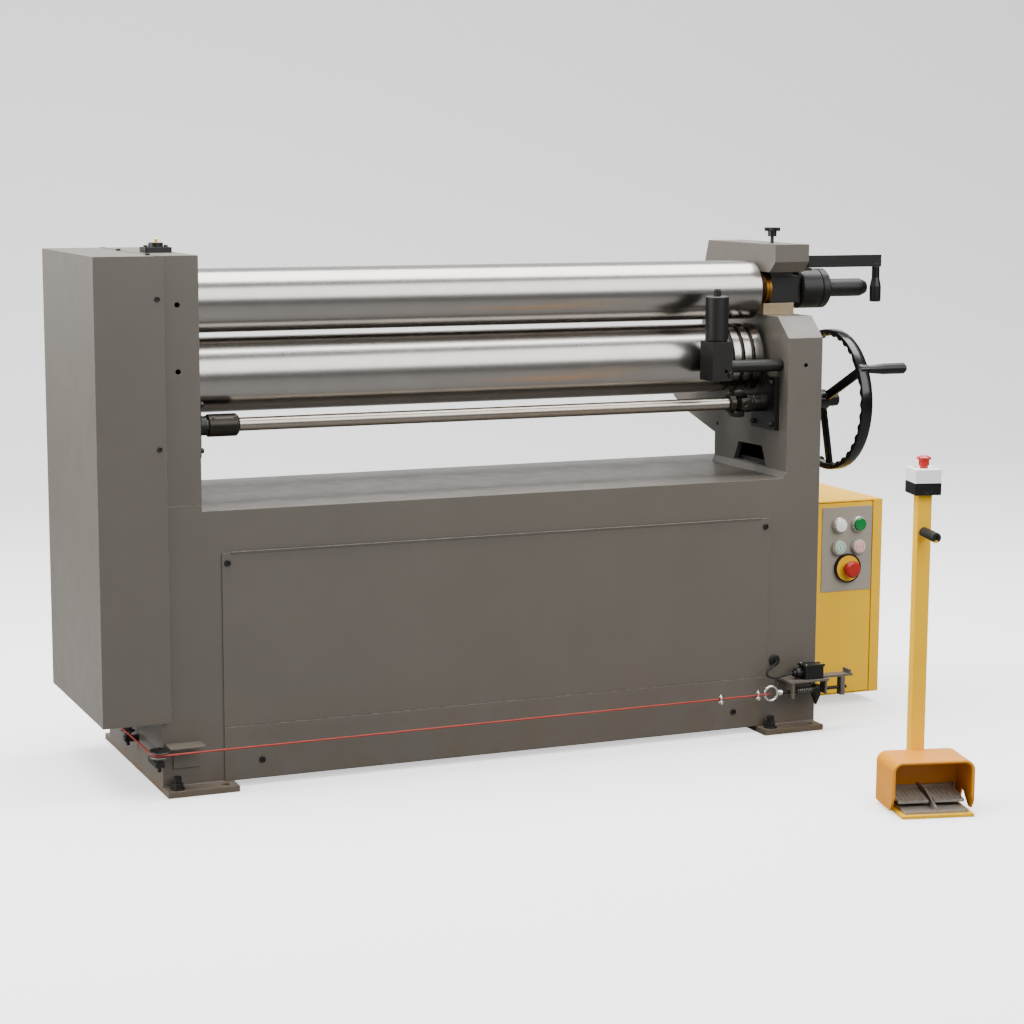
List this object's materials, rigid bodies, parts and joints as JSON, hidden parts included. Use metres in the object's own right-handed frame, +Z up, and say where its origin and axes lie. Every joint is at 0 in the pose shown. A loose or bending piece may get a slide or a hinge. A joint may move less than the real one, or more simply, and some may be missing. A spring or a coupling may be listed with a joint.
{
  "type": "powered slip roll machine",
  "caption": "Powered slip roll with a swing-open top bearing head, handwheel-lifted pinch roll, geared drive, wire-grooved rolls, pull-wire stop and separate foot-switch pedestal.",
  "frame": {"origin": "on the floor, midway between the four open anchor holes of the feet", "axes": "+X along the rolls towards the handwheel, -Y towards the operator, +Z up"},
  "size_m": [1.9075, 1.3194, 1.1225],
  "materials": {
    "body_paint": "satin textured paint",
    "foot_paint": "satin paint",
    "yellow_paint": "satin textured paint",
    "motor_paint": "satin paint",
    "gloss_black": "gloss enamel",
    "control_face": "satin",
    "black_steel": "black oxide",
    "dark_steel": "dark oxide",
    "gear_steel": "machined, oiled",
    "polished_steel": "ground and polished",
    "machined_steel": "machined",
    "shaft_steel": "satin",
    "zinc_steel": "plated",
    "spring_steel": "dark",
    "bronze": "machined",
    "black_plastic": "gloss",
    "black_rubber": "matte",
    "lamp_lens": "gloss",
    "green_button": "gloss",
    "red_button": "gloss",
    "pulley_grey": "matte",
    "red_wire": "satin",
    "hood_plastic": "satin",
    "pedal_grey": "cast, painted",
    "box_plastic": "satin"
  },
  "bodies": {
    "machine": {"foot_plates": "foot_paint", "levelling_bolts": "black_steel", "base_frame": "body_paint", "front_panel": "body_paint", "left_frame": "body_paint", "right_frame": "body_paint", "slide_gibs": "machined_steel", "screw_jacks": "black_steel", "gear_cover": "body_paint", "geared_motor": "motor_paint", "roll_bushes": "bronze", "top_bearing_block": "black_steel", "bearing_housing": "black_steel", "bearing_cap": "black_steel", "head_hinge_pin": "machined_steel", "bearing_plates": "black_steel", "cabinet": "yellow_paint", "pulley_brackets": "black_steel", "pull_wire": "red_wire", "switch_bracket": "zinc_steel", "limit_switch": "black_plastic", "lead_grommet": "black_rubber", "switch_lead": "black_rubber", "pedestal_stand": "yellow_paint", "pedal_hood": "hood_plastic", "pedal_unit": "pedal_grey", "stop_box": "box_plastic"},
    "top_roll": {"top_roll": "polished_steel", "top_roll_gears": "gear_steel"},
    "lower_carriage": {"lower_bearing_blocks": "machined_steel"},
    "lower_roll": {"lower_roll": "polished_steel", "lower_roll_gear": "gear_steel"},
    "idler": {"idler_gear": "gear_steel"},
    "pinion": {"drive_pinion": "gear_steel"},
    "handwheel": {"handwheel": "gloss_black", "cross_shaft": "shaft_steel", "shaft_couplings": "dark_steel"},
    "handwheel_grip": {"handwheel_grip": "black_plastic"},
    "rear_feed": {"rear_feed_shaft": "shaft_steel"},
    "rear_carriage": {"rear_bearing_blocks": "machined_steel"},
    "rear_roll": {"rear_roll": "polished_steel"},
    "head": {"head_block": "black_steel"},
    "star_knob": {"star_knob": "black_plastic"},
    "lock_lever": {"lock_lever": "black_steel"},
    "lever_grip": {"lever_grip": "black_plastic"},
    "cone_arm": {"cone_arm": "black_steel"},
    "cone_roller": {"cone_roller": "black_steel"},
    "cabinet_door": {"cabinet_door": "yellow_paint", "control_plate": "control_face", "pilot_lamps": "lamp_lens"},
    "start_button": {"start_button": "green_button"},
    "stop_button": {"stop_button": "red_button"},
    "panel_stop": {"panel_stop": "red_button"},
    "trip_rod": {"trip_rod": "dark_steel", "trip_spring": "spring_steel"},
    "corner_pulley": {"corner_pulley": "pulley_grey"},
    "side_pulley": {"side_pulley": "pulley_grey"},
    "pedestal_stop": {"pedestal_stop": "red_button"},
    "pedal_left": {"pedal_left": "pedal_grey"},
    "pedal_right": {"pedal_right": "pedal_grey"}
  },
  "joints": [
    {"name": "top_roll_spin", "type": "hinge", "parent": "machine", "child": "top_roll", "pos_m": [0, -0.066, 0.984], "axis": [1, 0, 0], "continuous": true},
    {"name": "lower_roll_lift", "type": "slide", "parent": "machine", "child": "lower_carriage", "axis": [0, 0, 1], "range_m": [-0.006, 0.008]},
    {"name": "lower_roll_spin", "type": "hinge", "parent": "lower_carriage", "child": "lower_roll", "pos_m": [0, -0.066, 0.832], "axis": [1, 0, 0], "continuous": true},
    {"name": "idler_spin", "type": "hinge", "parent": "machine", "child": "idler", "pos_m": [-0.8895, -0.006, 0.72588], "axis": [1, 0, 0], "continuous": true},
    {"name": "pinion_spin", "type": "hinge", "parent": "machine", "child": "pinion", "pos_m": [-0.8895, -0.006, 0.50088], "axis": [1, 0, 0], "continuous": true},
    {"name": "handwheel_turn", "type": "hinge", "parent": "machine", "child": "handwheel", "pos_m": [0.7855, -0.1375, 0.735], "axis": [1, 0, 0], "range_deg": [-3600, 4800]},
    {"name": "handwheel_grip_spin", "type": "hinge", "parent": "handwheel", "child": "handwheel_grip", "pos_m": [0.85, -0.26822, 0.81354], "axis": [1, 0, 0], "continuous": true},
    {"name": "rear_feed_turn", "type": "hinge", "parent": "machine", "child": "rear_feed", "pos_m": [0.746, 0.20266, 0.7891], "axis": [1, 0, 0], "range_deg": [0, 10800]},
    {"name": "rear_roll_feed", "type": "slide", "parent": "machine", "child": "rear_carriage", "axis": [0, -0.5, 0.866], "range_m": [0, 0.09]},
    {"name": "rear_roll_spin", "type": "hinge", "parent": "rear_carriage", "child": "rear_roll", "pos_m": [0, 0.119, 0.802], "axis": [1, 0, 0], "continuous": true},
    {"name": "head_swing", "type": "hinge", "parent": "machine", "child": "head", "pos_m": [0.665, 0.145, 1], "axis": [-1, 0, 0], "range_deg": [0, 80]},
    {"name": "star_knob_turn", "type": "hinge", "parent": "head", "child": "star_knob", "pos_m": [0.665, -0.066, 1.1], "axis": [0, 0, 1], "range_deg": [0, 1080]},
    {"name": "lock_lever_swing", "type": "hinge", "parent": "head", "child": "lock_lever", "pos_m": [0.723, -0.11, 1.045], "axis": [0, 0, -1], "range_deg": [0, 60]},
    {"name": "lever_grip_spin", "type": "hinge", "parent": "lock_lever", "child": "lever_grip", "pos_m": [0.913, -0.11, 1], "axis": [0, 0, 1], "continuous": true},
    {"name": "cone_arm_slide", "type": "slide", "parent": "machine", "child": "cone_arm", "axis": [1, 0, 0], "range_m": [-0.06, 0]},
    {"name": "cone_roller_spin", "type": "hinge", "parent": "cone_arm", "child": "cone_roller", "pos_m": [0.46, -0.191, 0.93], "axis": [0, 0, 1], "continuous": true},
    {"name": "cabinet_door_swing", "type": "hinge", "parent": "machine", "child": "cabinet_door", "pos_m": [0.944, -0.0635, 0.25], "axis": [0, 0, 1], "range_deg": [0, 100]},
    {"name": "start_button_press", "type": "slide", "parent": "cabinet_door", "child": "start_button", "axis": [0, 1, 0], "range_m": [0, 0.004], "stiffness_N_per_m": 400, "springref_m": -0.003},
    {"name": "stop_button_press", "type": "slide", "parent": "cabinet_door", "child": "stop_button", "axis": [0, 1, 0], "range_m": [0, 0.004], "stiffness_N_per_m": 400, "springref_m": -0.003},
    {"name": "panel_stop_press", "type": "slide", "parent": "cabinet_door", "child": "panel_stop", "axis": [0, 1, 0], "range_m": [0, 0.005], "stiffness_N_per_m": 600, "springref_m": -0.003},
    {"name": "trip_rod_pull", "type": "slide", "parent": "machine", "child": "trip_rod", "axis": [-1, 0, 0], "range_m": [0, 0.008], "stiffness_N_per_m": 900, "springref_m": -0.004},
    {"name": "corner_pulley_spin", "type": "hinge", "parent": "machine", "child": "corner_pulley", "pos_m": [-0.824, -0.261, 0.092], "axis": [0, 0, 1], "continuous": true},
    {"name": "side_pulley_spin", "type": "hinge", "parent": "machine", "child": "side_pulley", "pos_m": [-0.8285, -0.023, 0.092], "axis": [0, 0, 1], "continuous": true},
    {"name": "pedestal_stop_press", "type": "slide", "parent": "machine", "child": "pedestal_stop", "axis": [0, 0, -1], "range_m": [0, 0.004], "stiffness_N_per_m": 600, "springref_m": -0.004},
    {"name": "pedal_left_press", "type": "hinge", "parent": "machine", "child": "pedal_left", "pos_m": [0.54061, -0.84927, 0.031], "axis": [0.9703, -0.2419, 0], "range_deg": [0, 5], "stiffness_Nm_per_rad": 5, "springref_deg": -8.59},
    {"name": "pedal_right_press", "type": "hinge", "parent": "machine", "child": "pedal_right", "pos_m": [0.61242, -0.86718, 0.031], "axis": [0.9703, -0.2419, 0], "range_deg": [0, 5], "stiffness_Nm_per_rad": 5, "springref_deg": -8.59}
  ],
  "couplings": [
    {"joint": "lower_roll_spin", "follows": "top_roll_spin", "ratio": -0.85},
    {"joint": "idler_spin", "follows": "top_roll_spin", "ratio": -0.51429},
    {"joint": "pinion_spin", "follows": "top_roll_spin", "ratio": 1.8},
    {"joint": "lower_roll_lift", "follows": "handwheel_turn", "m_per_rad": 0.000095493},
    {"joint": "rear_roll_feed", "follows": "rear_feed_turn", "m_per_rad": 0.00047746}
  ]
}
